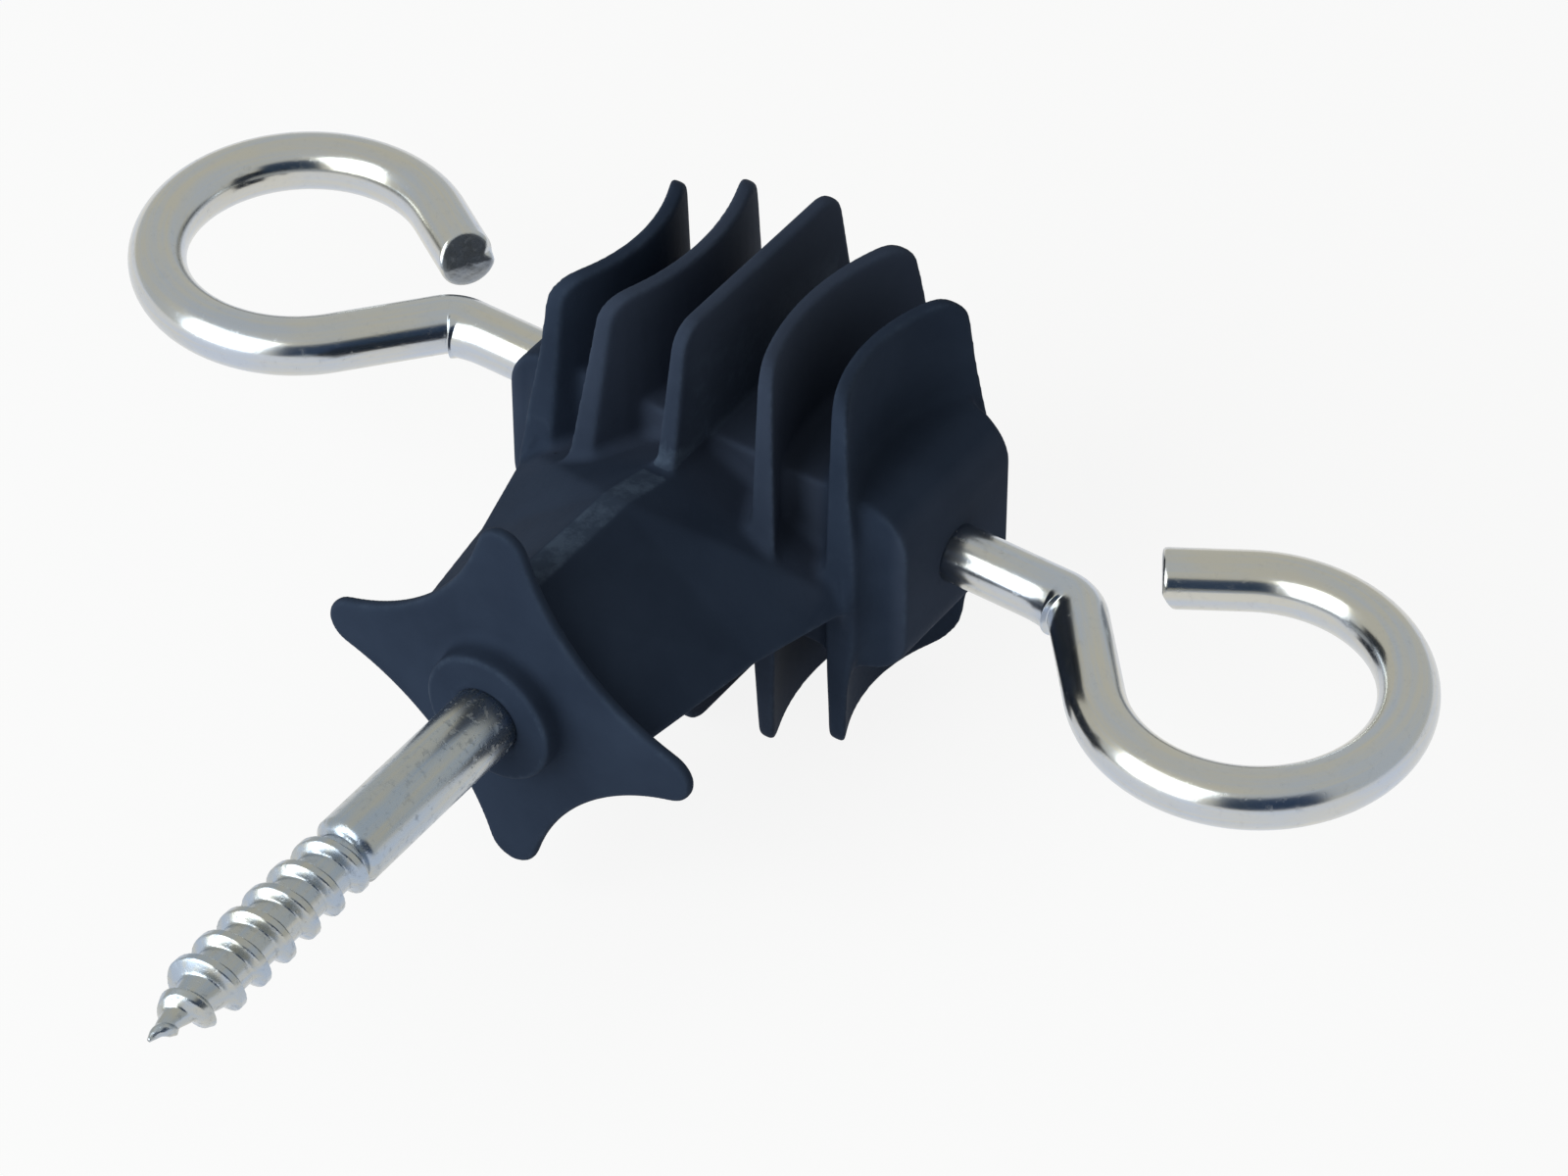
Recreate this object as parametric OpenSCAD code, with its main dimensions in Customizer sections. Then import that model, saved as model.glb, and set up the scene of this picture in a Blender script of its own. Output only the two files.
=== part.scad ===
// Electric-fence insulator: a finned plastic body on a wood-screw stem,
// with an open steel hook on each side that carries the live wire or a gate handle.
// The origin is on the stem's axis, in the seating face that meets the post.
// X runs along the hooks, -Y points into the post and Z is up. Lengths are in millimetres.

/* [Hooks] */
// Diameter of the hook wire
wire_d = 5; // [4:0.1:6]
// Radius of each loop, to the middle of its wire
loop_r = 12.4; // [10:0.1:15]
// Straight wire that shows between the body and the sharp bend
rod_out = 11.3; // [6:0.1:16]
// Angle of the sharp bend, in degrees
bend_angle = 49.5; // [40:0.1:60]
// Angle from the body's side of the loop round to where its straight tail begins, in degrees
mouth_angle = 58; // [40:0.5:80]
// Length of the straight tail
tail_l = 7; // [3:0.1:9]

/* [Core] */
// Distance from the seating face to the axis of the hook wire
hook_y = 37.2; // [34:0.1:45]
// Length of the core along the hooks
core_l = 39.2; // [37:0.1:50]
// Width of the core, along the stem
core_w = 15.2; // [13:0.1:18]
// Height of the core
core_h = 17.6; // [16:0.1:22]
// Radius of the rounded edges at the core's two ends
core_end_r = 4.5; // [2:0.1:6]

/* [Fins] */
// Thickness of a fin at its upper and lower edge
fin_tip_t = 1.3; // [1:0.1:2]
// Thickness of a fin half way up, where the mould parts
fin_root_t = 2.2; // [1.8:0.1:3.2]
// Radius of a fin's corners
fin_corner_r = 2.5; // [1:0.1:4]
// Width of the middle fin half way up
mid_fin_w = 29.2; // [26:0.1:34]
// Width of the middle fin's upper edge
mid_fin_top_w = 21.6; // [16:0.1:25]
// Height of the middle fin
mid_fin_h = 43; // [36:0.1:48]
// Distance from the middle of the body to the fins beside the middle one
inner_fin_x = 5.4; // [4.5:0.1:7]
// Width of those fins half way up
inner_fin_w = 26.2; // [24:0.1:32]
// Width of their upper edges
inner_fin_top_w = 20.2; // [15:0.1:24]
// Height of those fins
inner_fin_h = 40.6; // [34:0.1:46]
// Radius to which they bow
inner_bow_r = 22.5; // [20:0.5:60]
// Distance from the middle of the body to the outermost fins
outer_fin_x = 11.3; // [9.5:0.1:13]
// Width of the outermost fins half way up
outer_fin_w = 20.8; // [18.5:0.1:27]
// Width of their upper edges
outer_fin_top_w = 17.4; // [13:0.1:19]
// Height of the outermost fins
outer_fin_h = 37; // [30:0.1:42]
// Radius to which the outermost fins bow
outer_bow_r = 16; // [15.5:0.5:60]

/* [Neck] */
// Width of the neck at the collar
neck_w = 23.2; // [18:0.1:27]
// Height of the neck at the collar
neck_h = 21; // [18:0.1:25]
// Width of the neck where its ridge begins to fall
break_w = 27.4; // [22:0.1:32]
// Height of the neck there
break_h = 20.6; // [17:0.1:24]
// Distance from there to the axis of the hook wire
break_gap = 20; // [17:0.1:23]
// Width of the neck where it meets the fins
flare_w = 33; // [29:0.1:36]
// Height of the neck where it meets the fins
flare_h = 15.6; // [14:0.1:20]
// Width of the flat along the ridge
ridge_w = 2.3; // [1:0.1:4]

/* [Collar] */
// Thickness of the star-shaped collar
star_t = 1.1; // [0.8:0.1:3]
// Distance from the stem's axis to each tip of the star
star_tip = 17.6; // [15:0.1:20]
// Distance from the stem's axis to the middle of a hollow side
star_waist = 10.4; // [9:0.1:12]
// Radius of the hollow sides
star_side_r = 20.5; // [17:0.1:30]
// Diameter of the round seat in front of the collar
seat_d = 11.8; // [10:0.1:14]
// Height of the round seat
seat_h = 2.5; // [1:0.1:4]
// Depth of the small relief round the stem in the seating face
relief_t = 0.4; // [0.2:0.1:0.8]

/* [Screw stem] */
// Diameter of the plain shank
shank_d = 6; // [5:0.1:8]
// Length of the plain shank outside the seat
shank_l = 18.2; // [12:0.1:30]
// Length of the wood thread, point included
thread_l = 23.5; // [15:0.1:40]
// Pitch of the wood thread
thread_pitch = 3; // [2:0.1:4]
// Diameter of the solid wire under the thread
root_d = 4.3; // [3.4:0.1:4.8]
// Width of the thread's foot
thread_foot = 1.7; // [1:0.1:2]
// Width of the thread's crest
thread_crest = 0.5; // [0.2:0.05:0.8]
// Length of the tapered point
point_l = 7; // [4:0.1:10]
// Length over which the thread grows to its full height
run_in_l = 6; // [3:0.1:9]
// Diameter of the stem's inner end, drawn plain for its machine thread
inner_d = 5.4; // [4.6:0.1:5.8]
// Length of the stem's inner end
inner_l = 16; // [13:0.1:20]

/* [Moulded-in steel] */
// Width across the flats of the hook coupling
coupling_af = 8; // [7:0.1:10]
// Length of the hook coupling
coupling_l = 24; // [16:0.1:30]
// Gap between the two hooks' inner ends
rod_gap = 2; // [1:0.1:4]
// Width across the flats of the anchor nut
nut_af = 10; // [8:0.1:11]
// Thickness of the anchor nut
nut_t = 5; // [4:0.1:7]
// Distance from the seating face to the anchor nut
nut_y = 8; // [6:0.1:8.5]
// Clearance between the plastic and each steel insert, and inside the nuts
insert_gap = 0.05; // [0.02:0.01:0.15]

/* [Hidden] */
$fn = 64;

// Overlap that joins two shapes of one solid
weld = 0.5;

// Places along the hooks
bend_x = core_l / 2 + rod_out;
loop_x = bend_x + loop_r / sin(bend_angle);
run_l = loop_r / tan(bend_angle);
loop_start = 270 - bend_angle;
loop_sweep = 270 + bend_angle - mouth_angle;

// Turn by which the loop is drawn too long before its tail is joined on, in degrees
spare_turn = 5;

// The fins on one side: distance from the middle, width, width of the upper edge, height and bow
side_fins = [
    [inner_fin_x, inner_fin_w, inner_fin_top_w, inner_fin_h, inner_bow_r],
    [outer_fin_x, outer_fin_w, outer_fin_top_w, outer_fin_h, outer_bow_r]
];

// Part of a turn that a bowed wall covers before it is trimmed, in degrees
wall_sweep = 150;

// Flats along the round of each fin corner
round_steps = 5;

// Places along the stem
collar_y = seat_h + star_t;
flare_y = hook_y - outer_fin_w / 2 + weld;
root_y = hook_y - core_w / 2 + weld;
tip_y = -shank_l - thread_l;

// Neck sections from the collar to the core: place, width and height
neck_sections = [
    [collar_y - weld, neck_w, neck_h],
    [hook_y - break_gap, break_w, break_h],
    [flare_y, flare_w, flare_h],
    [root_y, flare_w - 2 * bow(outer_bow_r, outer_fin_w / 2) + 2 * bow(outer_bow_r, core_w / 2), flare_h - 2 * weld]
];

// Star collar: centres of the hollow sides and of the tips that touch them
side_c = (star_waist + star_side_r) / sqrt(2);
tip_c = (pow(star_side_r + star_tip, 2) - 2 * pow(side_c, 2)) / (2 * (star_side_r + star_tip - side_c));
tip_r = star_tip - tip_c;
touch = tip_r / (star_side_r + tip_r);
arm_r = norm([tip_c + (side_c - tip_c) * touch, side_c * touch]);

// Wood thread: steps in each turn, and the first and last step of the helix
thread_steps = 20;
point_r = 0.15;
thread_rows = floor((thread_l - thread_foot) / thread_pitch * thread_steps);
thread_cols = 4;

// How far a wall of this bow stands off its middle at a distance across it
function bow(r, across) = r - sqrt(r * r - across * across);

// Six corners of a neck section
function neck_outline(w, h) = [
    [w / 2, 0], [ridge_w / 2, h / 2], [-ridge_w / 2, h / 2],
    [-w / 2, 0], [-ridge_w / 2, -h / 2], [ridge_w / 2, -h / 2]
];

// Six corners of a fin, in the plane of its broad faces
function fin_outline(w, top_w, h) = [
    [w / 2, 0], [top_w / 2, h / 2], [-top_w / 2, h / 2],
    [-w / 2, 0], [-top_w / 2, -h / 2], [top_w / 2, -h / 2]
];

// Unit vector from one point towards another
function towards(a, b) = (b - a) / norm(b - a);

// Corner i of a closed outline, counted round and round
function corner(points, i) = points[(i + len(points)) % len(points)];

// Points along the round of radius r in a corner of an outline that runs anticlockwise
function round_points(points, i, r) =
    let (
        p = corner(points, i),
        u = towards(p, corner(points, i - 1)),
        v = towards(p, corner(points, i + 1)),
        inside = acos(u * v),
        centre = p + (u + v) / norm(u + v) * r / sin(inside / 2),
        start = atan2(u[0], -u[1])
    )
    [for (k = [0:round_steps]) let (a = start + (180 - inside) * k / round_steps) centre + r * [cos(a), sin(a)]];

// Radius of the stem's solid wire and of its thread's crest at a distance from the point
function root_radius(s) = min(root_d / 2, point_r + (root_d / 2 - point_r) * s / point_l);
function crest_radius(s) = min(shank_d / 2, point_r + (shank_d / 2 - point_r) * s / run_in_l);

// The four points across the thread at one step of the helix: foot, crest, crest and foot
function thread_point(row, col) =
    let (
        across = [0, (thread_foot - thread_crest) / 2, (thread_foot + thread_crest) / 2, thread_foot],
        s = thread_pitch * row / thread_steps + across[col],
        r = col == 1 || col == 2 ? crest_radius(s) : root_radius(s),
        turn = 360 * row / thread_steps
    )
    [r * sin(turn), tip_y + s, r * cos(turn)];

// Index of a thread point
function at(row, col) = row * thread_cols + col;

// A slab of a flat XZ outline between two places along Y
module slab_y(from, to) {
    translate([0, to, 0]) rotate([90, 0, 0]) linear_extrude(to - from) children();
}

// A slab of a flat YZ outline between two places along X
module slab_x(from, to) {
    translate([from, 0, 0]) rotate([90, 0, 90]) linear_extrude(to - from) children();
}

// A round bar along the hook wire's axis
module bar_x(from, to, d) {
    translate([from, hook_y, 0]) rotate([0, 90, 0]) cylinder(h = to - from, d = d);
}

// A round bar along the stem's axis
module bar_y(from, to, d) {
    translate([0, from, 0]) rotate([-90, 0, 0]) cylinder(h = to - from, d = d);
}

// A six-sided bar of this width across the flats, standing on its own end
module hex_bar(af, l) {
    cylinder(h = l, d = af / cos(30), center = true, $fn = 6);
}

// A rectangle with round corners
module round_rect(w, h, r) {
    square([w - 2 * r, h], center = true);
    square([w, h - 2 * r], center = true);
    for (x = [-1, 1], y = [-1, 1]) translate([x * (w / 2 - r), y * (h / 2 - r)]) circle(r);
}

// A convex outline with every corner rounded
module round_outline(points, r) {
    polygon([for (i = [0:len(points) - 1]) each round_points(points, i, r)]);
}

// The flat section through a fin: thickest half way up, thin at both edges
module fin_section(h) {
    top = h / 2 + weld;
    top_t = fin_root_t - (fin_root_t - fin_tip_t) * top / (h / 2);
    polygon([
        [-fin_root_t / 2, 0], [-top_t / 2, -top], [top_t / 2, -top],
        [fin_root_t / 2, 0], [top_t / 2, top], [-top_t / 2, top]
    ]);
}

// The flat middle fin, trimmed to its outline
module mid_fin() {
    translate([0, hook_y, 0]) intersection() {
        slab_y(-mid_fin_w, mid_fin_w) fin_section(mid_fin_h);
        slab_x(-fin_root_t, fin_root_t) round_outline(fin_outline(mid_fin_w, mid_fin_top_w, mid_fin_h), fin_corner_r);
    }
}

// A fin on the right-hand side, bowed away from the middle of the body and trimmed to its outline
module side_fin(x, w, top_w, h, bow_r) {
    translate([x, 0, 0]) intersection() {
        translate([bow_r, 0, 0]) rotate(180 - wall_sweep / 2)
            rotate_extrude(angle = wall_sweep) translate([bow_r, 0]) fin_section(h);
        slab_x(-fin_root_t, fin_root_t + bow(bow_r, w / 2)) round_outline(fin_outline(w, top_w, h), fin_corner_r);
    }
}

// The fishtail neck between the collar and the core
module neck() {
    for (i = [0:len(neck_sections) - 2]) hull() for (section = [neck_sections[i], neck_sections[i + 1]])
        slab_y(section[0], section[0] + weld) polygon(neck_outline(section[1], section[2]));
}

// The four-pointed star with hollow sides
module star() {
    difference() {
        circle(arm_r);
        for (x = [-1, 1], y = [-1, 1]) translate([x * side_c, y * side_c]) circle(star_side_r);
    }
    for (a = [0:90:270]) rotate(a) translate([tip_c, 0]) circle(tip_r);
}

// The spaces that the steel pieces fill in the plastic
module insert_spaces() {
    bar_x(-core_l / 2 - weld, core_l / 2 + weld, wire_d + 2 * insert_gap);
    translate([0, hook_y, 0]) rotate([0, 90, 0]) hex_bar(coupling_af + 2 * insert_gap, coupling_l + 2 * insert_gap);
    bar_y(-weld, relief_t, shank_d + 2 * insert_gap);
    bar_y(-weld, inner_l + insert_gap, inner_d + 2 * insert_gap);
    translate([0, nut_y + nut_t / 2, 0]) rotate([90, 0, 0]) hex_bar(nut_af + 2 * insert_gap, nut_t + 2 * insert_gap);
}

// The wood thread and its point, one closed skin that winds round the stem
module wood_thread() {
    last = thread_rows;
    steps = thread_steps;
    point = (last + 1) * thread_cols;
    points = [
        for (row = [0:last], col = [0:thread_cols - 1]) thread_point(row, col),
        [0, tip_y, 0],
        [0, -shank_l + weld, 0]
    ];
    flanks = [
        for (row = [0:last - 1], col = [0:thread_cols - 2])
        each [[at(row, col), at(row, col + 1), at(row + 1, col)], [at(row, col + 1), at(row + 1, col + 1), at(row + 1, col)]]
    ];
    roots = [
        for (row = [0:last - steps - 1])
        each [[at(row, 3), at(row + steps, 0), at(row + 1, 3)], [at(row + steps, 0), at(row + 1 + steps, 0), at(row + 1, 3)]]
    ];
    first_rim = [for (row = [0:steps]) at(row, 0), at(0, 3), at(0, 2), at(0, 1)];
    last_rim = [for (row = [last - steps:last]) at(row, 3), at(last, 2), at(last, 1), at(last, 0)];
    first_cap = [for (i = [0:len(first_rim) - 1]) [corner(first_rim, i), corner(first_rim, i + 1), point]];
    last_cap = [for (i = [0:len(last_rim) - 1]) [corner(last_rim, i + 1), corner(last_rim, i), point + 1]];
    polyhedron(points, concat(flanks, roots, first_cap, last_cap));
}

// One side of the plane that halves the sharp bend: -1 towards the body, 1 towards the loop
module mitre(side) {
    l = 2 * loop_x;
    intersection() {
        children();
        translate([bend_x, hook_y, 0]) rotate(-bend_angle / 2) translate([side < 0 ? -l : 0, -l / 2, -l / 2]) cube(l);
    }
}

// The loop's own frame, with the start of the loop on its X axis
module at_loop() {
    translate([loop_x, hook_y, 0]) rotate(loop_start) children();
}

// A block against the plane where the loop ends and its tail begins: -1 on the loop's side, 1 on the tail's
module tail_trim(side) {
    b = 2 * wire_d;
    at_loop() rotate(loop_sweep) translate([loop_r - b / 2, side < 0 ? -b : 0, -b / 2]) cube(b);
}

// One hook: straight wire, sharp bend, run, open loop and straight tail
module hook() {
    mitre(-1) bar_x(rod_gap / 2, bend_x + wire_d, wire_d);
    mitre(1) at_loop() translate([loop_r, 0, 0]) rotate([90, 0, 0]) rotate(-90)
        cylinder(h = run_l + wire_d, d = wire_d);
    difference() {
        at_loop() rotate_extrude(angle = loop_sweep + spare_turn) translate([loop_r, 0]) rotate(-90) circle(d = wire_d);
        tail_trim(1);
    }
    difference() {
        at_loop() rotate(loop_sweep) translate([loop_r, -weld, 0]) rotate([-90, 0, 0]) rotate(90)
            cylinder(h = tail_l + weld, d = wire_d);
        tail_trim(-1);
    }
}

module insulator_body() {
    color("#1d2027") difference() {
        union() {
            translate([0, hook_y, 0]) slab_y(-core_w / 2, core_w / 2) round_rect(core_l, core_h, core_end_r);
            mid_fin();
            translate([0, hook_y, 0]) for (turn = [0, 180], f = side_fins)
                rotate(turn) side_fin(f[0], f[1], f[2], f[3], f[4]);
            neck();
            slab_y(seat_h, collar_y) star();
            bar_y(0, seat_h + weld, seat_d);
        }
        insert_spaces();
    }
}

module right_hook() {
    color("#c8c5bc") hook();
}

module left_hook() {
    color("#c8c5bc") rotate([0, 180, 0]) hook();
}

module hook_coupling() {
    color("#a9a391") difference() {
        translate([0, hook_y, 0]) rotate([0, 90, 0]) hex_bar(coupling_af, coupling_l);
        bar_x(-coupling_l / 2 - weld, coupling_l / 2 + weld, wire_d + 2 * insert_gap);
    }
}

module wood_screw() {
    color("#aeb2b6") {
        bar_y(-shank_l, 0, shank_d);
        bar_y(-weld, inner_l, inner_d);
        wood_thread();
    }
}

module anchor_nut() {
    color("#a9a391") difference() {
        translate([0, nut_y + nut_t / 2, 0]) rotate([90, 0, 0]) hex_bar(nut_af, nut_t);
        bar_y(nut_y - weld, nut_y + nut_t + weld, inner_d + 2 * insert_gap);
    }
}

insulator_body();
left_hook();
right_hook();
hook_coupling();
wood_screw();
anchor_nut();
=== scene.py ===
# %% [markdown]
# A fence insulator, dressed
# The part is a black finned insulator for an electric fence. A wood screw holds it to a post, and an
# open steel hook on each side takes a gate handle or a live wire. Its solids come packed, in metres,
# and stay where they are. This lesson adds what a solid leaves out: moulded rounds, drawn wire, a
# rolled thread and the finishes. Each step says what the real piece is, how it could be made, and why
# this way was chosen.

import math

import bpy
import numpy as np
import openvdb
from mathutils import Matrix, Vector


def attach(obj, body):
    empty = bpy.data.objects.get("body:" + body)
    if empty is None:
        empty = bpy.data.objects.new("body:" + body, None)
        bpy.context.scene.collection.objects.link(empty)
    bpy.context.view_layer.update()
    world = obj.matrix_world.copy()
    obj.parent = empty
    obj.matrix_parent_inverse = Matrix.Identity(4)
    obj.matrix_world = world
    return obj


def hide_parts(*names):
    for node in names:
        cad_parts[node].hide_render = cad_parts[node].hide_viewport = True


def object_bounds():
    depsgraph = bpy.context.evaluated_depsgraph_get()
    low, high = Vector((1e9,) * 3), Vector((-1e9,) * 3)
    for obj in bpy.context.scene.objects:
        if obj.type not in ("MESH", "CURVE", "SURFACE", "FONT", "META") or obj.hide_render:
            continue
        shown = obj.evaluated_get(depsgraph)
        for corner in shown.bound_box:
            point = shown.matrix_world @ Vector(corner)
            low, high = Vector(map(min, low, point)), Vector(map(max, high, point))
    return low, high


MM = 0.001
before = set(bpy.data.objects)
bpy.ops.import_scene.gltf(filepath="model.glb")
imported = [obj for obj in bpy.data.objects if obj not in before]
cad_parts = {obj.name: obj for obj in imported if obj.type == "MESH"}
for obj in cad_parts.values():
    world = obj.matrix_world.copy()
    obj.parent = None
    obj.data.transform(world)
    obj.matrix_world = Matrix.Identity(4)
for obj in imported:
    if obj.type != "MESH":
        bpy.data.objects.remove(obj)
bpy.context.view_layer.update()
scene = bpy.context.scene
print("solids:", sorted(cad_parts))

# %% [markdown]
# The camera
# The picture was taken from the front right, well above the part. A camera could be placed by eye,
# but its place was worked out from the stem, the hook wires and the loops, so the frame is simply
# repeated here. The lens is long, which is why the two hooks look almost the same size.

# %% Camera
PHOTO_WIDTH_PX = 1600
FOCAL_PX = 6232
SENSOR_MM = 36
CAMERA_PLACE = Vector((0.21518, -0.26957, 0.33103))
AZIMUTH = math.radians(34.726)
ELEVATION = math.radians(42.652)


def direction(azimuth, elevation):
    """Unit vector from the part towards a place at this azimuth and elevation."""
    flat = math.cos(elevation)
    return Vector((math.sin(azimuth) * flat, -math.cos(azimuth) * flat, math.sin(elevation)))


def facing(place, back):
    """A matrix at this place for a camera or lamp that looks against the back vector."""
    return Matrix.Translation(place) @ (-back).to_track_quat("-Z", "Y").to_matrix().to_4x4()


camera_data = bpy.data.cameras.new("photo_camera")
camera_data.sensor_width = SENSOR_MM
camera_data.lens = SENSOR_MM * FOCAL_PX / PHOTO_WIDTH_PX
camera = bpy.data.objects.new("photo_camera", camera_data)
camera.matrix_world = facing(CAMERA_PLACE, direction(AZIMUTH, ELEVATION))
scene.collection.objects.link(camera)
scene.camera = camera
print("lens in mm:", round(camera_data.lens, 1))

# %% [markdown]
# Writing finishes as sums
# A finish is a tree of nodes. Nodes can be placed one by one, but a long tree is easier to read as
# sums, so a small class wraps a socket and lets Python's own operators add the Math nodes. Every
# other node comes from one method, which sets the node up first and then fills its sockets with
# values or links.


# %% Sockets that can be added and multiplied
class Value:
    """A number that changes over a surface: one node's output."""

    def __init__(self, finish, socket):
        self.finish = finish
        self.socket = socket

    def maths(self, operation, first, second):
        return self.finish.node("ShaderNodeMath", {"operation": operation}, {0: first, 1: second})

    def __add__(self, other):
        return self.maths("ADD", self, other)

    __radd__ = __add__

    def __sub__(self, other):
        return self.maths("SUBTRACT", self, other)

    def __rsub__(self, other):
        return self.maths("SUBTRACT", other, self)

    def __mul__(self, other):
        return self.maths("MULTIPLY", self, other)

    __rmul__ = __mul__


class Finish:
    """A material and the nodes that make it."""

    def __init__(self, name, **constants):
        self.material = bpy.data.materials.new(name)
        self.material.use_nodes = True
        self.tree = self.material.node_tree
        self.shader = self.tree.nodes["Principled BSDF"]
        self.feed(self.shader, constants)

    def feed(self, node, sockets):
        for key, value in sockets.items():
            socket = node.inputs[key.replace("_", " ") if isinstance(key, str) else key]
            if isinstance(value, Value):
                self.tree.links.new(value.socket, socket)
            else:
                socket.default_value = value

    def node(self, kind, settings, sockets, output=0):
        made = self.tree.nodes.new(kind)
        for key, value in settings.items():
            if key == "stops":
                for stop, (place, level) in zip(made.color_ramp.elements, value, strict=True):
                    stop.position = place
                    stop.color = (level, level, level, 1)
            else:
                setattr(made, key, value)
        self.feed(made, sockets)
        return Value(self, made.outputs[output])

    def noise(self, vector, scale, detail=2.0, roughness=0.5):
        sockets = {"Vector": vector, "Scale": scale, "Detail": detail, "Roughness": roughness}
        return self.node("ShaderNodeTexNoise", {}, sockets)

    def ramp(self, value, low, high):
        """0 below low, 1 above high, and even between them."""
        return self.node("ShaderNodeValToRGB", {"stops": ((low, 0), (high, 1))}, {"Fac": value})

    def blend(self, amount, first, second):
        sockets = {"Factor": amount, 6: first, 7: second}
        return self.node("ShaderNodeMix", {"data_type": "RGBA"}, sockets, 2)

    def relief(self, height, distance_mm, strength=1.0):
        sockets = {"Height": height, "Distance": distance_mm * MM, "Strength": strength}
        return self.node("ShaderNodeBump", {}, sockets)

    def attribute(self, name, output):
        return self.node("ShaderNodeAttribute", {"attribute_name": name}, {}, output)

    def place(self):
        """Where a point is on the object, in metres."""
        return self.node("ShaderNodeTexCoord", {}, {}, "Object")


print("finishes are ready to be written")

# %% [markdown]
# Black moulded plastic
# The body is a nylon or polypropylene moulding, black with a cool tint. One flat black would look
# like a hole in the picture. What shows that it is plastic is a broad, soft sheen that changes slowly
# where the melt flowed, a fine grain from the mould, and edges that are rubbed paler. The pale edges
# also carry a painted highlight, and the narrow ridges along the neck get a painted highlight too.
# Between the fins and on the ends of the core the black is lightened by painted fill light. The grain
# and the sheen come from noise, and the pale edges, the painted highlight and the painted fill light
# from numbers worked out later for every point of the body.

# %% Plastic
PLASTIC_DARK = (0.0215, 0.0315, 0.055, 1)
PLASTIC_PALE = (0.0265, 0.0385, 0.066, 1)
# Paler edges: rubbed wear and a painted highlight; also the painted highlight of the neck ridges
PLASTIC_WORN_AND_HIGHLIT = (0.062, 0.087, 0.132, 1)
# Painted fill light: a paler black between the fins and on the ends of the core
PLASTIC_PAINTED_FILL = (0.045, 0.058, 0.092, 1)
PLASTIC_SHEEN = (0.55, 0.75, 1, 1)
PLASTIC_ROUGH = 0.56
FLOW_SCALE = 140
GRAIN_SCALE = 2600
SCUFF_SCALE = 420
GRAIN_DEPTH_MM = 0.02


def black_plastic():
    """The moulding's finish: flow marks, painted fill light, and rubbed edges with a painted highlight,
    over a cool black.
    """
    finish = Finish("black_plastic", Specular_IOR_Level=0.02, Specular_Tint=PLASTIC_SHEEN)
    place = finish.place()
    flow = finish.noise(place, FLOW_SCALE, 3.0)
    grain = finish.noise(place, GRAIN_SCALE, 2.0, 0.6)
    scuffs = finish.ramp(finish.noise(place, SCUFF_SCALE, 4.0, 0.7), 0.46, 0.64)
    edge = finish.attribute("edge", "Fac")
    # paler edges: rubbed wear with a painted highlight, and the painted highlight of the neck ridges
    wear_and_highlight = edge * (0.35 + 0.65 * scuffs)
    moulded = finish.blend(finish.ramp(flow, 0.35, 0.65), PLASTIC_DARK, PLASTIC_PALE)
    # painted fill light between the fins and on the ends of the core
    painted_fill_colour = finish.blend(finish.attribute("painted_fill", "Fac") * (0.4 + 0.6 * flow), moulded, PLASTIC_PAINTED_FILL)
    sockets = {
        "Base Color": finish.blend(wear_and_highlight, painted_fill_colour, PLASTIC_WORN_AND_HIGHLIT),
        "Roughness": PLASTIC_ROUGH + 0.12 * flow + 0.1 * grain - 0.16 * wear_and_highlight,
        "Normal": finish.relief(grain + 0.6 * scuffs, GRAIN_DEPTH_MM, 0.5),
    }
    finish.feed(finish.shader, sockets)
    return finish.material


plastic = black_plastic()
print("finish:", plastic.name)

# %% [markdown]
# Zinc on drawn wire and on the screw
# The hooks are bright zinc plate over drawn wire: nearly a mirror, with fine lines along the wire and
# faint warm and cool clouds. The screw has the same plate, duller from the rolling of its thread. One
# function makes both. The lines have to follow the bends, so they are drawn in the wire's own
# measure, which each steel piece carries as a vector: how far along it, and where round it.

# %% Zinc
BARE_STEEL = (0.27, 0.3, 0.34, 1)
HOOK_WARM = (0.59, 0.58, 0.53, 1)
HOOK_COOL = (0.51, 0.56, 0.645, 1)
SCREW_WARM = (0.48, 0.485, 0.455, 1)
SCREW_COOL = (0.39, 0.46, 0.56, 1)
INSERT_WARM = (0.5, 0.48, 0.43, 1)
INSERT_COOL = (0.46, 0.47, 0.47, 1)
LINE_SCALE = 2.2
CLOUD_SCALE = 190
PIT_SCALE = 1500
TEAR_SCALE = 1100


def zinc_plate(name, warm, cool, dullness, line_depth_mm, mottle):
    """Zinc between a warm and a cool tone, with lines, pits and, on a cut, bare steel."""
    finish = Finish(name, Metallic=1.0)
    along = finish.attribute("drawn", "Vector")
    place = finish.place()
    lines = finish.noise(along, LINE_SCALE, 3.0, 0.6)
    clouds = finish.noise(place, CLOUD_SCALE, 3.0)
    pits = finish.ramp(finish.noise(place, PIT_SCALE, 3.0, 0.6), 0.56, 0.72)
    cut = finish.attribute("cut", "Fac")
    torn = cut * finish.noise(place, TEAR_SCALE, 2.0)
    plate = finish.blend(finish.ramp(0.7 * lines + 0.3 * clouds, 0.4, 0.6), warm, cool)
    sockets = {
        "Base Color": finish.blend(0.75 * cut + mottle * pits, plate, BARE_STEEL),
        "Roughness": dullness + 0.1 * lines + 0.08 * clouds + mottle * pits + 0.18 * cut,
        "Normal": finish.relief(lines - 3 * mottle * pits + 8 * torn, line_depth_mm, 0.6),
    }
    finish.feed(finish.shader, sockets)
    return finish.material


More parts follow.
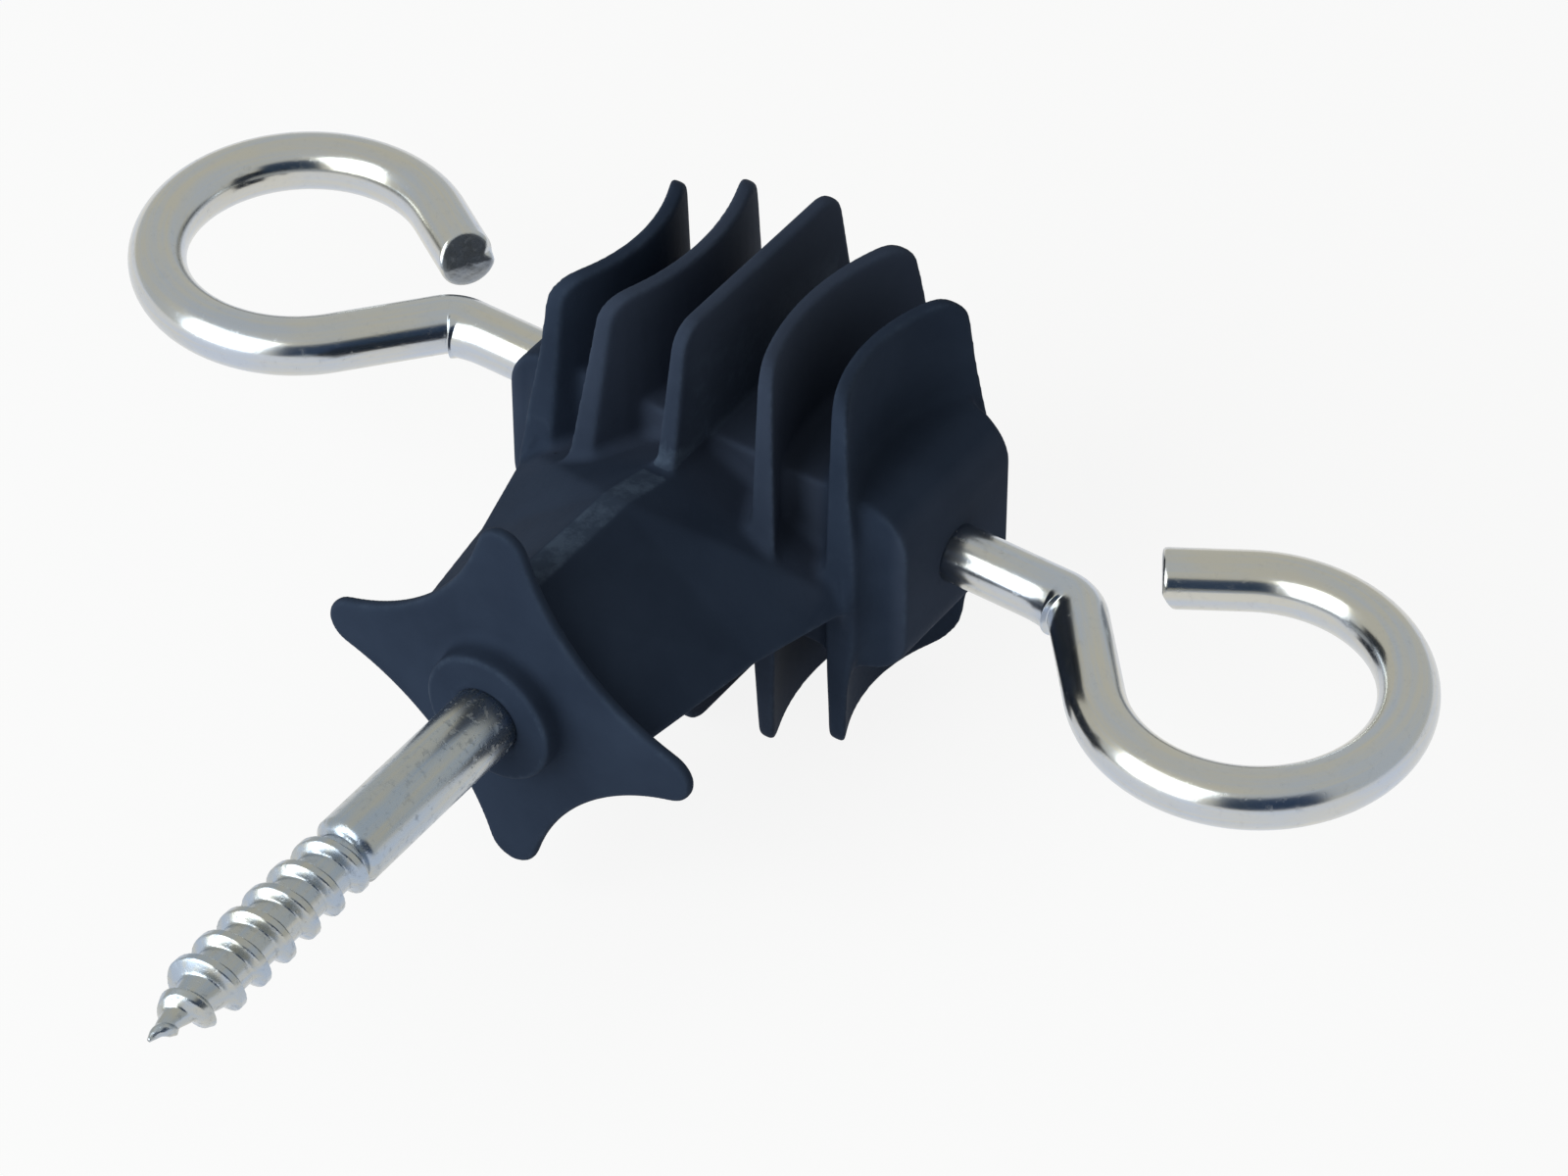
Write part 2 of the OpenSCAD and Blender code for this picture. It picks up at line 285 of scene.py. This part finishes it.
hook_zinc = zinc_plate("hook_zinc", HOOK_WARM, HOOK_COOL, dullness=0.1, line_depth_mm=0.012, mottle=0.1)
screw_zinc = zinc_plate(
    "screw_zinc", SCREW_WARM, SCREW_COOL, dullness=0.16, line_depth_mm=0.02, mottle=0.28
)
insert_steel = zinc_plate(
    "insert_steel", INSERT_WARM, INSERT_COOL, dullness=0.25, line_depth_mm=0.02, mottle=0.1
)
print("finishes:", hook_zinc.name, screw_zinc.name, insert_steel.name)

# %% [markdown]
# Helpers for the pieces
# Every piece is a mesh made from points in millimetres. It rides on the part's one body, takes the
# finish it is given, and stands for one of the imported solids.

# %% Meshes and pieces


def skin_mesh(name, points, faces):
    """A smooth mesh from points in millimetres and faces that all have the same number of corners."""
    mesh = bpy.data.meshes.new(name)
    count, corners = faces.shape
    mesh.vertices.add(len(points))
    mesh.vertices.foreach_set("co", (points * MM).astype(np.float32).ravel())
    mesh.loops.add(count * corners)
    mesh.loops.foreach_set("vertex_index", faces.astype(np.int32).ravel())
    mesh.polygons.add(count)
    mesh.polygons.foreach_set("loop_start", np.arange(count, dtype=np.int32) * corners)
    mesh.update(calc_edges=True)
    mesh.shade_smooth()
    return mesh


def add_piece(mesh, finish, node):
    """Put a mesh in the scene with its finish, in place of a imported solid."""
    piece = bpy.data.objects.new(mesh.name, mesh)
    scene.collection.objects.link(piece)
    mesh.materials.append(finish)
    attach(piece, "root")
    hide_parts(node)
    print(piece.name, "has", len(mesh.polygons), "faces")


# %% [markdown]
# The moulded body
# On the real body every inside corner has a round, because the melt has to flow round it, and every
# edge is a little soft. A bevel could be tried, but the fins meet the core and the neck along curves
# where bevels break. A level set is safer: it stores the distance to the surface in a grid. Growing
# the shape and shrinking it again leaves rounds in the inside corners, and a slight blur softens the
# edges. The solid itself is the start, so the dressed body can't drift away from it.

# %% Level sets
VOXEL_MM = 0.2
GRID = openvdb.createLinearTransform(voxelSize=VOXEL_MM)


def solid_skin(node):
    """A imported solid's points in millimetres and its triangles, with points in the same place merged."""
    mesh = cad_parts[node].data
    mesh.calc_loop_triangles()
    points = np.empty(len(mesh.vertices) * 3, np.float32)
    mesh.vertices.foreach_get("co", points)
    corners = np.empty(len(mesh.loop_triangles) * 3, np.int32)
    mesh.loop_triangles.foreach_get("vertices", corners)
    points, merged = np.unique(np.round(points.reshape(-1, 3) / MM, 4), axis=0, return_inverse=True)
    return points, merged.reshape(-1)[corners].reshape(-1, 3)


def level_set(points, faces, reach_mm):
    """Distances to a skin, known out to reach_mm on both sides."""
    kind = "triangles" if faces.shape[1] == 3 else "quads"
    skin = {"points": points.astype(np.float32), kind: faces.astype(np.uint32)}
    width = reach_mm / VOXEL_MM + 2
    return openvdb.FloatGrid.createLevelSetFromPolygons(transform=GRID, halfWidth=width, **skin)


def dense(grid, low, shape):
    """A grid's distances as an array that starts at the cell low."""
    distances = np.empty(shape, np.float32)
    grid.copyToArray(distances, ijk=tuple(int(v) for v in low))
    return distances


def rounded_inside(skin, round_mm, low, shape):
    """Distances to a skin whose inside corners are rounded: it is grown, and measured from there."""
    grown = level_set(*skin, round_mm).convertToQuads(isovalue=round_mm)
    return dense(level_set(*grown, round_mm + 1), low, shape) + round_mm


print("voxels of", VOXEL_MM, "mm")

# %% [markdown]
# Two sizes of inside round
# Most inside corners have a round of under a millimetre. Only where the ends of the core leave the
# outermost fins is it larger, about two millimetres in front and behind and less above and below. The
# large round would close the gaps between the fins, so it is kept only on the outer side of the
# outermost fins, which is inside the cylinders that those fins follow. The plastic is moulded onto
# the steel, so the mouths of the three bores are plugged and no gap shows round the rods and the
# stem.

# %% Rounds of the body
ROOT_ROUND_MM = 0.6
BOSS_ROUND_MM = 2.3
BOSS_ROUND_TOP = 0.35
BOSS_FRONT_MM = 4
BOSS_TOP_MM = 9
ROD_PLUG_MM = 2.55
STEM_PLUG_MM = 3.05
CORE_HALF_MM = 19.4
SEAT_FACE_MM = 0.02
PLUG_MM = 5
HOOK_Y_MM = 37.2
OUTER_FIN_X_MM = 11.3
OUTER_BOW_MM = 16
MARGIN_MM = 3


def body_field():
    """The body's distance field with its inside rounds, and the grid place of its first cell."""
    skin = solid_skin("insulator_body")
    low = np.floor((skin[0].min(0) - MARGIN_MM) / VOXEL_MM).astype(int)
    shape = np.ceil((skin[0].max(0) + MARGIN_MM) / VOXEL_MM).astype(int) - low
    fine = rounded_inside(skin, ROOT_ROUND_MM, low, shape)
    wide = rounded_inside(skin, BOSS_ROUND_MM, low, shape)
    cells = [(low[axis] + np.arange(shape[axis], dtype=np.float32)) * VOXEL_MM for axis in range(3)]
    x, y, z = np.meshgrid(np.abs(cells[0]), cells[1], cells[2], indexing="ij", sparse=True)
    outside = np.hypot(x - OUTER_FIN_X_MM - OUTER_BOW_MM, y - HOOK_Y_MM) - OUTER_BOW_MM
    along_rod = np.maximum(x - CORE_HALF_MM, CORE_HALF_MM - PLUG_MM - x)
    along_stem = np.maximum(SEAT_FACE_MM - y, y - SEAT_FACE_MM - PLUG_MM)
    rod_plug = np.maximum(np.hypot(y - HOOK_Y_MM, z) - ROD_PLUG_MM, along_rod)
    stem_plug = np.maximum(np.hypot(x, z) - STEM_PLUG_MM, along_stem)
    plugs = np.minimum(rod_plug, stem_plug)
    front = np.clip((BOSS_TOP_MM - np.abs(z)) / (BOSS_TOP_MM - BOSS_FRONT_MM), 0, 1)
    share = BOSS_ROUND_TOP + (1 - BOSS_ROUND_TOP) * front * front * (3 - 2 * front)
    boss = np.maximum(fine + share * (wide - fine), outside)
    return np.minimum(np.minimum(fine, plugs), boss).astype(np.float32), low


field, field_low = body_field()
print("cells:", field.shape)

# %% [markdown]
# Skin, edges, and places of wear and painted light
# The field is blurred, which softens its edges and leaves its flats where they are, and is turned
# into a skin. The flat parts are thinned out, because a fin needs few faces and a round needs many.
# Edges rub first and catch a highlight, which is painted here, so each point also gets a number for
# how far the blur has moved it in: that is large on an edge and nothing on a flat. The narrow ridges
# along the neck get a painted highlight, so they count as edges too. Each point also gets a number for
# painted fill light, which lightens the black between the fins and on the ends of the core.

# %% Body piece
BODY_SHARE = 0.25
BLUR_PASSES = 2
PROUD_MM = 0.14
# How pale the edges are painted: rubbed wear and a painted highlight
EDGE_WEAR_AND_HIGHLIGHT = 0.4
# The neck ridges, painted pale as a painted highlight
RIDGE_HALF_MM = 1.25
RIDGE_FADE_MM = 0.2
RIDGE_LOW_MM = 9
RIDGE_HIGH_MM = 10.6
# Where the painted fill light lies: between the fins and on the ends of the core
NECK_START_MM = 4
PAINTED_FILL_START_MM = 23
PAINTED_FILL_FADE_MM = 5
PAINTED_FILL_CLEAR_MM = 1
END_PAINTED_FILL = 0.7
END_PAINTED_FILL_X_MM = 18


def blurred(values):
    """The field with each cell averaged with its neighbours."""
    for _ in range(BLUR_PASSES):
        for axis in range(3):
            values = (np.roll(values, 1, axis) + values + np.roll(values, -1, axis)) / 3
    return values


def sample(values, low, points):
    """Values of a field at points in millimetres, even between cells."""
    place = points / VOXEL_MM - low
    base = np.clip(np.floor(place).astype(int), 0, np.array(values.shape) - 2)
    part = place - base
    total = np.zeros(len(points))
    for corner in np.ndindex(2, 2, 2):
        share = np.prod(np.where(corner, part, 1 - part), axis=1)
        total += share * values[tuple((base + corner).T)]
    return total


def thinned(mesh, share):
    """The mesh with only this share of its faces, fewest on the flats."""
    helper = bpy.data.objects.new("helper", mesh)
    scene.collection.objects.link(helper)
    helper.modifiers.new("thin_out", "DECIMATE").ratio = share
    seen = helper.evaluated_get(bpy.context.evaluated_depsgraph_get())
    thin = bpy.data.meshes.new_from_object(seen)
    bpy.data.objects.remove(helper)
    return thin


def body_mesh():
    """The body's skin, where the blurred field is zero."""
    grid = openvdb.FloatGrid(float(field.max()))
    grid.copyFromArray(blurred(field), ijk=tuple(int(v) for v in field_low))
    grid.transform = GRID
    points, faces = grid.convertToQuads(isovalue=0)
    mesh = thinned(skin_mesh("moulding", points, faces), BODY_SHARE)
    mesh.name = "moulded_body"
    mesh.shade_smooth()
    return mesh


def mark_edges(mesh):
    """Give each point of the body its share of rubbing with a painted highlight, and of painted fill light.
    """
    points = np.empty(len(mesh.vertices) * 3)
    mesh.vertices.foreach_get("co", points)
    points = points.reshape(-1, 3) / MM
    # paler edges: rubbed wear with a painted highlight
    proud = EDGE_WEAR_AND_HIGHLIGHT * np.clip(-sample(field, field_low, points) / PROUD_MM, 0, 1)
    x, y, z = np.abs(points.T)
    # painted highlight along the ridges of the neck
    on_neck = (points[:, 1] > NECK_START_MM) & (z > RIDGE_LOW_MM) & (z < RIDGE_HIGH_MM)
    ridge = np.clip((RIDGE_HALF_MM - x) / RIDGE_FADE_MM, 0, 1) * on_neck
    # painted fill light: between the fins, back from the neck, and on the ends of the core
    between = np.hypot(x - OUTER_FIN_X_MM - OUTER_BOW_MM, y - HOOK_Y_MM) - OUTER_BOW_MM - PAINTED_FILL_CLEAR_MM
    painted_fill = np.clip(between, 0, 1) * np.clip((y - PAINTED_FILL_START_MM) / PAINTED_FILL_FADE_MM, 0, 1)
    painted_fill = np.maximum(painted_fill, END_PAINTED_FILL * np.clip(x - END_PAINTED_FILL_X_MM, 0, 1))
    mesh.attributes.new("edge", "FLOAT", "POINT").data.foreach_set("value", np.maximum(proud, ridge))
    mesh.attributes.new("painted_fill", "FLOAT", "POINT").data.foreach_set("value", painted_fill)


moulding = body_mesh()
mark_edges(moulding)
add_piece(moulding, plastic, "insulator_body")

# %% [markdown]
# Hooks of drawn wire
# Each hook is one length of wire: a straight rod out of the body, a sharp bend pressed over a tool, a
# short run, an open loop and a straight tail cut with shears. A curve with a bevel would give a plain
# tube. The real wire shows where it was worked, so rings of points are laid along the route instead,
# and each ring can be dented: a crease with a swollen lip inside the bend, and an end that is cut
# square above and torn back below.

# %% Route of the wire
WIRE_R_MM = 2.5
ROD_START_MM = 1
BEND_X_MM = 30.9
BEND = math.radians(49.5)
BEND_R_MM = 3.3
LOOP_R_MM = 12.4
MOUTH = math.radians(58)
TAIL_MM = 7

bend_inset = BEND_R_MM * math.tan(BEND / 2)
route = [
    (BEND_X_MM - ROD_START_MM - bend_inset, 0),
    (BEND_R_MM * BEND, -1 / BEND_R_MM),
    (LOOP_R_MM / math.tan(BEND) - bend_inset, 0),
    (LOOP_R_MM * (1.5 * math.pi + BEND - MOUTH), 1 / LOOP_R_MM),
    (TAIL_MM, 0),
]
wire_length = sum(length for length, _ in route)
crease_at = route[0][0] + route[1][0] / 2


def on_route(distance):
    """Place and heading, in millimetres and radians, at a distance along the wire."""
    x, y, heading = ROD_START_MM, HOOK_Y_MM, 0.0
    for length, turn in route:
        step = min(distance, length)
        if turn:
            x += (math.sin(heading + turn * step) - math.sin(heading)) / turn
            y -= (math.cos(heading + turn * step) - math.cos(heading)) / turn
        else:
            x += step * math.cos(heading)
            y += step * math.sin(heading)
        heading += turn * step
        distance -= step
    return x, y, heading


print("wire of", round(wire_length, 1), "mm, crease at", round(crease_at, 1))

# %% [markdown]
# Dents in the wire
# The metal on the inner side of the bend has nowhere to go, so it is squeezed out into a small facet,
# which rises along the last two millimetres of the rod and ends in a step at the crease. The shear
# leaves one half of the end square, with a rounded rim, and tears the other half back at a slant,
# with a small nick on the side where the blade came in. Both hooks are the same piece: the left one
# is turned half round the stem, so its torn half is on top.

# %% Hook pieces
RING_POINTS = 64
WIRE_STEP_MM = 0.5
CREASE_REACH_MM = 3.5
CREASE_STEP_MM = 0.08
END_REACH_MM = 1.5
END_STEP_MM = 0.1
LIP_MM = 0.62
LIP_FADE_MM = 1.9
LIP_POWER = 1.5
STEP_MM = 0.5
TEAR_SLOPE = 0.45
TEAR_BELOW_MM = -0.2
TEAR_REACH_MM = 2.5
NICK_MM = 0.8
NICK_REACH_MM = 1.1
NICK_AT = 1.06 * math.pi
NICK_HALF = 0.24
CAP_MM = 0.3
CAP_RIM = ((0.1, 0.99), (0.2, 0.96), (0.27, 0.9))
CAP_SHARES = (0.8, 0.6, 0.4, 0.2, 0.02)
CUT_WITHIN = 0.93
MEASURE_ALONG = 0.012
MEASURE_ROUND = 0.4


def stations():
    """Distances along the wire: close together near the crease and the end."""
    coarse = np.arange(0, wire_length - CAP_MM - END_REACH_MM, WIRE_STEP_MM)
    coarse = coarse[np.abs(coarse - crease_at) > CREASE_REACH_MM]
    crease = np.arange(crease_at - CREASE_REACH_MM, crease_at + CREASE_REACH_MM, CREASE_STEP_MM)
    end = np.arange(wire_length - CAP_MM - END_REACH_MM, wire_length - CAP_MM, END_STEP_MM)
    return np.sort(np.concatenate([coarse, crease, end]))


def dented_radius(distance, angle):
    """Radius of the wire at a distance along it and at angles from its left side."""
    past = distance - crease_at
    inner = np.maximum(0, -np.cos(angle)) ** LIP_POWER
    rise = math.exp(-((past / LIP_FADE_MM) ** 2)) if past < 0 else max(0, 1 - past / STEP_MM)
    left = wire_length - distance
    nick = 0.0
    if left < NICK_REACH_MM:
        round_it = np.exp(-(((angle - NICK_AT) / NICK_HALF) ** 2))
        nick = NICK_MM * (1 - left / NICK_REACH_MM) * round_it
    return WIRE_R_MM + LIP_MM * rise * inner - nick


def wire_rings():
    """Rings of points along the wire, in millimetres, its own measure of each, and which are on the cut."""
    angle = np.arange(RING_POINTS) * 2 * math.pi / RING_POINTS
    steps = [(distance, 1.0) for distance in stations()]
    steps += [(wire_length - CAP_MM + out, share) for out, share in CAP_RIM]
    steps += [(wire_length, share) for share in CAP_SHARES]
    rings, measures, cuts = [], [], []
    for distance, share in steps:
        radius = dented_radius(distance, angle) * share
        cuts.append(np.full(RING_POINTS, share < CUT_WITHIN))
        side, height = radius * np.cos(angle), radius * np.sin(angle)
        left = wire_length - distance
        torn = np.maximum(0, -height - TEAR_BELOW_MM) * TEAR_SLOPE * max(0, 1 - left / TEAR_REACH_MM)
        x, y, heading = on_route(distance)
        forward = np.array([math.cos(heading), math.sin(heading)])
        leftward = np.array([-forward[1], forward[0]])
        flat = np.array([x, y]) + side[:, None] * leftward - torn[:, None] * forward
        rings.append(np.column_stack([flat, height]))
        along = np.full(RING_POINTS, distance * MEASURE_ALONG)
        measures.append(np.column_stack([along, side * MEASURE_ROUND, height * MEASURE_ROUND]))
    return np.array(rings), np.array(measures), np.array(cuts)


def ring_faces(rings, ring_points):
    """Quads between rings that follow each other."""
    first = (np.arange(rings - 1) * ring_points)[:, None] + np.arange(ring_points)
    after = (np.arange(rings - 1) * ring_points)[:, None] + (np.arange(ring_points) + 1) % ring_points
    return np.stack([first, after, after + ring_points, first + ring_points], axis=-1).reshape(-1, 4)


def turned_mesh(name, rings, measures):
    """A closed mesh from rings: quads along it and a many-sided face at each end."""
    count, ring_points, _ = rings.shape
    points = (rings.reshape(-1, 3) * MM).tolist()
    last = (count - 1) * ring_points
    ends = [list(range(ring_points))[::-1], [last + i for i in range(ring_points)]]
    mesh = bpy.data.meshes.new(name)
    mesh.from_pydata(points, [], ring_faces(count, ring_points).tolist() + ends)
    mesh.shade_smooth()
    drawn = mesh.attributes.new("drawn", "FLOAT_VECTOR", "POINT")
    drawn.data.foreach_set("vector", measures.astype(np.float32).ravel())
    return mesh


wire, wire_measure, wire_cut = wire_rings()
for side, half_turn in (("right", (1, 1, 1)), ("left", (-1, 1, -1))):
    hook = turned_mesh(f"{side}_hook_wire", wire * half_turn, wire_measure)
    cut = hook.attributes.new("cut", "FLOAT", "POINT")
    cut.data.foreach_set("value", wire_cut.astype(np.float32).ravel())
    add_piece(hook, hook_zinc, f"{side}_hook")

# %% [markdown]
# The wood screw
# The stem has a plain shank with a small bevel, a rolled wood thread and a point. A thread could be a
# profile swept along a helix, but the run-in at the shank and the taper to the point are easier as a
# turned form: at each place along the stem and each angle round it, the radius lies between the root
# and the crest, as near to the crest as the helix is close. That also gives the thread its straight
# flanks and its narrow flat crest.

# %% Screw piece
SHANK_R_MM = 3
SHANK_MM = 18.2
BEVEL_MM = 0.5
THREAD_MM = 23.5
PITCH_MM = 3
ROOT_R_MM = 2.15
CREST_MM = 0.6
FOOT_MM = 1.6
POINT_MM = 7
RUN_IN_MM = 6
POINT_R_MM = 0.15
INNER_R_MM = 2.7
INNER_MM = 16
SCREW_POINTS = 96
THREAD_STEP_MM = 0.09
TIP_START_MM = 0.02
BEVEL_LONG_MM = 0.6
SHANK_RINGS = 30
SHANK_EASE_MM = 0.05
SCREW_MEASURE_ALONG = 0.02


def thread_radius(from_tip, angle):
    """Radius of the thread at a distance from its tip and at angles round it."""
    root = min(ROOT_R_MM, POINT_R_MM + (ROOT_R_MM - POINT_R_MM) * from_tip / POINT_MM)
    crest = min(SHANK_R_MM, POINT_R_MM + (SHANK_R_MM - POINT_R_MM) * from_tip / RUN_IN_MM)
    turns = (from_tip - FOOT_MM / 2) / PITCH_MM - angle / (2 * math.pi)
    away = np.abs(turns - np.round(turns)) * PITCH_MM
    rise = np.clip((FOOT_MM / 2 - away) / (FOOT_MM - CREST_MM) * 2, 0, 1)
    return root + max(0, crest - root) * rise


def screw_rings():
    """Rings of points along the stem from its tip, and its own measure of each."""
    angle = np.arange(SCREW_POINTS) * 2 * math.pi / SCREW_POINTS
    ones = np.ones(SCREW_POINTS)
    tip = -SHANK_MM - THREAD_MM
    thread = np.arange(TIP_START_MM, THREAD_MM, THREAD_STEP_MM)
    shank = np.linspace(-SHANK_MM + 1, -SHANK_EASE_MM, SHANK_RINGS)
    steps = [(tip + s, thread_radius(s, angle)) for s in thread]
    steps += [(-SHANK_MM, ones * (SHANK_R_MM - BEVEL_MM))]
    steps += [(-SHANK_MM + BEVEL_LONG_MM, ones * SHANK_R_MM)]
    steps += [(y, ones * SHANK_R_MM) for y in shank]
    steps += [(0, ones * (SHANK_R_MM - SHANK_EASE_MM))]
    steps += [(y, ones * INNER_R_MM) for y in (0, INNER_MM)]
    rings, measures = [], []
    for y, radius in steps:
        across, up = radius * np.sin(angle), radius * np.cos(angle)
        rings.append(np.column_stack([across, np.full(SCREW_POINTS, y), up]))
        along = np.full(SCREW_POINTS, y * SCREW_MEASURE_ALONG)
        measures.append(np.column_stack([along, across * MEASURE_ROUND, up * MEASURE_ROUND]))
    return np.array(rings), np.array(measures)


add_piece(turned_mesh("stem_screw", *screw_rings()), screw_zinc, "wood_screw")

# %% [markdown]
# Steel inside the plastic
# The coupling that joins the two hooks and the nut that holds the stem are hidden in the moulding.
# Their solids are right as they are, so they stay and only get the dull zinc finish.

# %% Inserts
for name in ("hook_coupling", "anchor_nut"):
    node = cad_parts[name]
    node.data.materials.clear()
    node.data.materials.append(insert_steel)
print("inserts keep their solids")

# %% [markdown]
# Floor, room and lamp
# The picture has a plain white ground. A white floor gives that: part of its white is its own, so
# that it stays white away from the lamp, and part is lit, so that it keeps the part's soft shadow.
# Above the floor is a pale grey room. One large soft lamp stands at the front left, like a window,
# and draws the bright lines on the wire. A dark card beside the camera, which only reflections see,
# gives the wire the dark lines that let the eye read it as metal.

# %% Stage
FLOOR_GAP_MM = 0.4
FLOOR_R = 4.0
FLOOR_POINTS = 64
FLOOR_OWN_WHITE = 0.88
FLOOR_RAYS = ("Camera", "Glossy", "Transmission")
ROOM_COLOUR = (0.645, 0.645, 0.6, 1)
ROOM_LIGHT = 0.54
CARD_COLOUR = (0.03, 0.055, 0.1, 1)
CARD_AZIMUTH = math.radians(47)
CARD_AWAY = 0.8
CARD_HALF = 0.5
CARD_HEIGHT = 0.85
CARD_FADE = ((0, 1), (0.75, 1), (1, 0))
CARD_SIDES = ((-1, 0), (-0.75, 1), (0.75, 1), (1, 0))
CENTRE = Vector((0, 0.015, 0))


def stage_sheet(name, corners, faces, material):
    """A sheet that belongs to the stage and not to the part."""
    mesh = bpy.data.meshes.new(name)
    mesh.from_pydata(corners, [], faces)
    mesh.materials.append(material)
    sheet = bpy.data.objects.new(name, mesh)
    scene.collection.objects.link(sheet)
    return sheet


def glowing_white():
    """White that is partly its own, to the rays that see it, and partly lit."""
    finish = Finish("floor_white", Base_Color=(0.95, 0.95, 0.95, 1), Roughness=1.0, Specular_IOR_Level=0.0)
    glow = finish.node("ShaderNodeEmission", {}, {"Color": (1, 1, 1, 1), "Strength": 1.0})
    lit = Value(finish, finish.shader.outputs[0])
    rays = [finish.node("ShaderNodeLightPath", {}, {}, f"Is {kind} Ray") for kind in FLOOR_RAYS]
    own = FLOOR_OWN_WHITE * (rays[0] + rays[1] + rays[2])
    both = finish.node("ShaderNodeMixShader", {}, {0: own, 1: lit, 2: glow})
    finish.feed(finish.tree.nodes["Material Output"], {"Surface": both})
    return finish.material


def dark_card():
    """A dark glow that fades out where the cover does."""
    finish = Finish("card_dark", Base_Color=(0, 0, 0, 1), Specular_IOR_Level=0.0)
    cover = finish.attribute("cover", "Fac")
    sockets = {"Emission Color": CARD_COLOUR, "Emission Strength": 1.0, "Alpha": cover}
    finish.feed(finish.shader, sockets)
    return finish.material


floor_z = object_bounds()[0].z - FLOOR_GAP_MM * MM
rim = [2 * math.pi * i / FLOOR_POINTS for i in range(FLOOR_POINTS)]
floor_rim = [(FLOOR_R * math.cos(a), FLOOR_R * math.sin(a), floor_z) for a in rim]
stage_sheet("floor", floor_rim, [range(FLOOR_POINTS)], glowing_white())

card_foot = CENTRE + CARD_AWAY * direction(CARD_AZIMUTH, 0)
card_foot.z = floor_z
card_side = CARD_HALF * Vector((math.cos(CARD_AZIMUTH), math.sin(CARD_AZIMUTH), 0))
card_up = Vector((0, 0, CARD_HEIGHT))
card_corners, card_cover = [], []
for height, row_cover in CARD_FADE:
    card_corners += [card_foot + height * card_up + share * card_side for share, _ in CARD_SIDES]
    card_cover += [row_cover * soft for _, soft in CARD_SIDES]
width = len(CARD_SIDES)
starts = [row * width + column for row in range(len(CARD_FADE) - 1) for column in range(width - 1)]
quads = [(i, i + 1, i + width + 1, i + width) for i in starts]
card = stage_sheet("dark_card", card_corners, quads, dark_card())
card.data.attributes.new("cover", "FLOAT", "POINT").data.foreach_set("value", card_cover)
card.visible_camera = False
card.visible_diffuse = False
card.visible_shadow = False

world = bpy.data.worlds.new("room")
world.use_nodes = True
room = world.node_tree
walls = room.nodes["Background"]
walls.inputs["Color"].default_value = ROOM_COLOUR
ray = room.nodes.new("ShaderNodeLightPath")
strength = room.nodes.new("ShaderNodeMapRange")
strength.inputs["To Min"].default_value = 1
strength.inputs["To Max"].default_value = ROOM_LIGHT
room.links.new(ray.outputs["Is Diffuse Ray"], strength.inputs["Value"])
room.links.new(strength.outputs["Result"], walls.inputs["Strength"])
scene.world = world
scene.view_settings.view_transform = "Standard"
print("floor at", round(floor_z / MM, 1), "mm")

# %% Lamp
WINDOW_WIDE = 0.75
WINDOW_TALL = 0.8
WINDOW_AWAY = 0.8
WINDOW_COLOUR = (0.95, 1, 1)
WINDOW_LEVEL = 0.95
WINDOW_AZIMUTH = math.radians(-18)
WINDOW_ELEVATION = math.radians(27)
window_way = direction(WINDOW_AZIMUTH, WINDOW_ELEVATION)

window_data = bpy.data.lights.new("window", "AREA")
window_data.shape = "RECTANGLE"
window_data.size = WINDOW_WIDE
window_data.size_y = WINDOW_TALL
window_data.color = WINDOW_COLOUR
window_data.energy = WINDOW_LEVEL * (math.pi * WINDOW_AWAY) ** 2
window = bpy.data.objects.new("window", window_data)
window.matrix_world = facing(CENTRE + WINDOW_AWAY * window_way, window_way)
scene.collection.objects.link(window)
print("window lamp of", round(window_data.energy, 1), "W")
